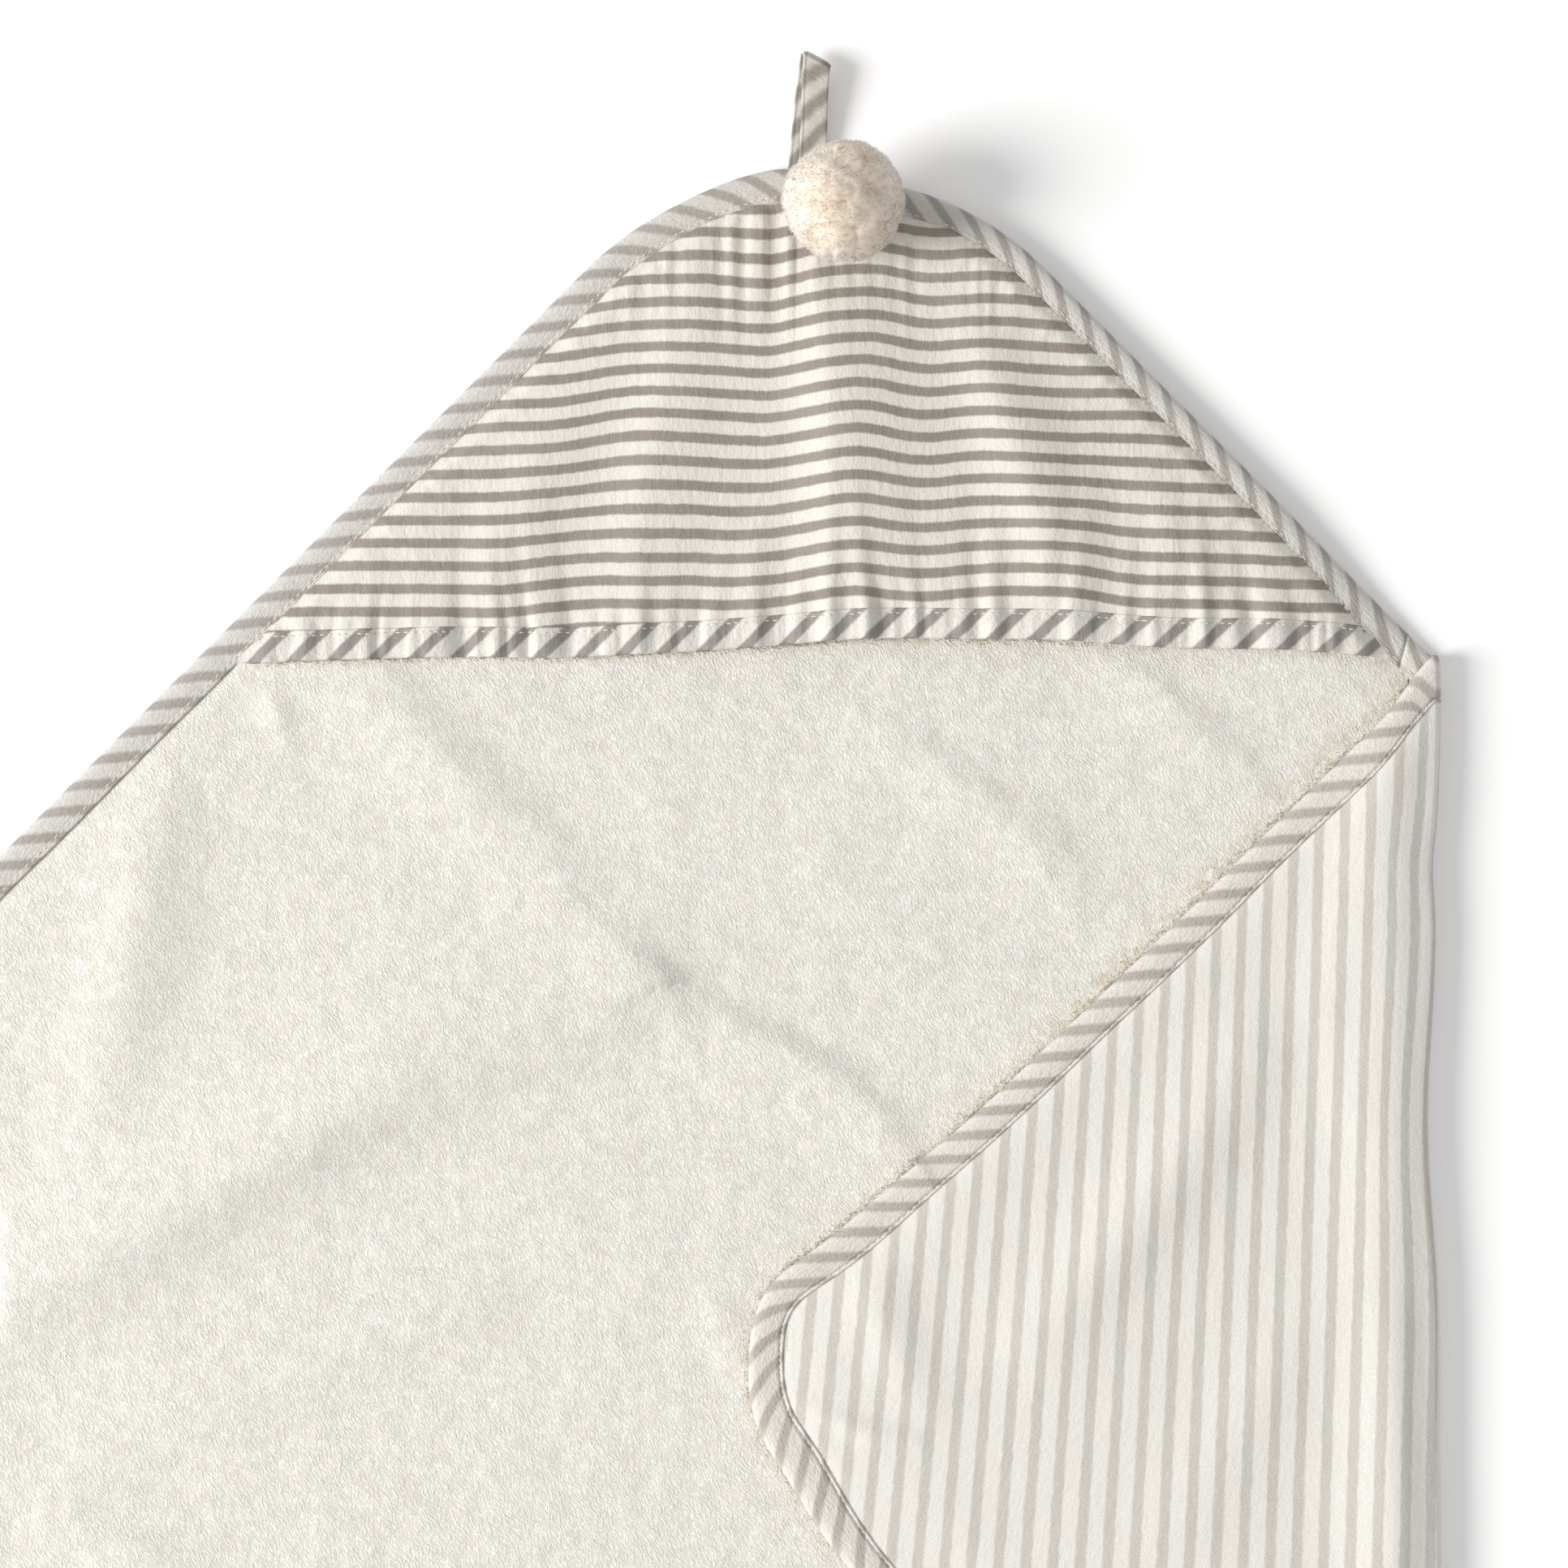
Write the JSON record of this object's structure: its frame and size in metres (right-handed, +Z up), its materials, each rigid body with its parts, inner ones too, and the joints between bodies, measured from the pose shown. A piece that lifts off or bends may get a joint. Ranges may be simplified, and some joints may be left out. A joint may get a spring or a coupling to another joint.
{
  "type": "hooded baby towel",
  "caption": "Square cotton terry baby towel with woven striped backing, striped bias binding, a striped corner hood with pom-pom and hanging loop, and one corner folded over.",
  "frame": {"origin": "centre of the towel's square on its underside, the plane it rests on", "axes": "+Z up out of the terry face, +Y along the diagonal towards the hood corner and hanging loop, +X along the other diagonal towards the corner that is folded over"},
  "size_m": [0.7668, 1.0504, 0.0543],
  "materials": {
    "terry": "cream cotton loop pile, matt",
    "backing": "off-white plain-weave cotton with pale taupe stripes, matt",
    "hood": "off-white plain-weave cotton with taupe stripes, matt",
    "binding": "bias-cut striped cotton, pressed, matt",
    "thread": "cream cotton sewing thread, slight sheen",
    "fur": "short plush pile, soft matt",
    "stuffing": "white polyester filling"
  },
  "bodies": {
    "towel": {"terry_panel": "terry", "backing_panel": "backing", "edge_binding_top": "binding", "edge_binding_lower_left": "binding", "edge_binding_lower_right": "binding", "edge_stitch_top": "thread", "edge_stitch_lower_left": "thread", "edge_stitch_lower_right": "thread", "loop_bartack": "thread"},
    "right_corner": {"terry_right_corner": "terry", "backing_right_corner": "backing", "edge_binding_right_corner": "binding", "edge_stitch_right_corner": "thread"},
    "left_corner": {"terry_left_corner": "terry", "backing_left_corner": "backing", "edge_binding_left_corner": "binding", "edge_stitch_left_corner": "thread"},
    "bottom_corner": {"terry_bottom_corner": "terry", "backing_bottom_corner": "backing", "edge_binding_bottom_corner": "binding", "edge_stitch_bottom_corner": "thread"},
    "hood": {"hood_panel": "hood", "hood_lining": "terry", "hood_hem_binding": "binding", "hood_hem_stitch": "thread"},
    "pompom_shank": {"pompom_tie": "thread"},
    "pompom": {"pompom_shell": "fur", "pompom_stuffing": "stuffing"},
    "loop": {"hanging_loop": "binding"}
  },
  "joints": [
    {"name": "right_corner_fold", "type": "hinge", "parent": "towel", "child": "right_corner", "pos_m": [0.249, 0, 0.0057], "axis": [0, 1, 0], "range_deg": [0, 178]},
    {"name": "left_corner_fold", "type": "hinge", "parent": "towel", "child": "left_corner", "pos_m": [-0.35, 0, 0.0057], "axis": [0, 1, 0], "range_deg": [0, 178]},
    {"name": "bottom_corner_fold", "type": "hinge", "parent": "towel", "child": "bottom_corner", "pos_m": [0, -0.35, 0.0057], "axis": [-1, 0, 0], "range_deg": [0, 178]},
    {"name": "hood_lift", "type": "hinge", "parent": "towel", "child": "hood", "pos_m": [0, 0.472, 0.0048], "axis": [-1, 0, 0], "range_deg": [0, 20]},
    {"name": "pompom_nod", "type": "hinge", "parent": "hood", "child": "pompom_shank", "pos_m": [0.0125, 0.467, 0.0073], "axis": [-1, 0, 0], "range_deg": [-20, 8]},
    {"name": "pompom_sway", "type": "hinge", "parent": "pompom_shank", "child": "pompom", "pos_m": [0.0125, 0.467, 0.0073], "axis": [0, 1, 0], "range_deg": [-15, 15]},
    {"name": "loop_flip", "type": "hinge", "parent": "towel", "child": "loop", "pos_m": [0, 0.4863, 0.0025], "axis": [1, 0, 0], "range_deg": [0, 20]}
  ]
}
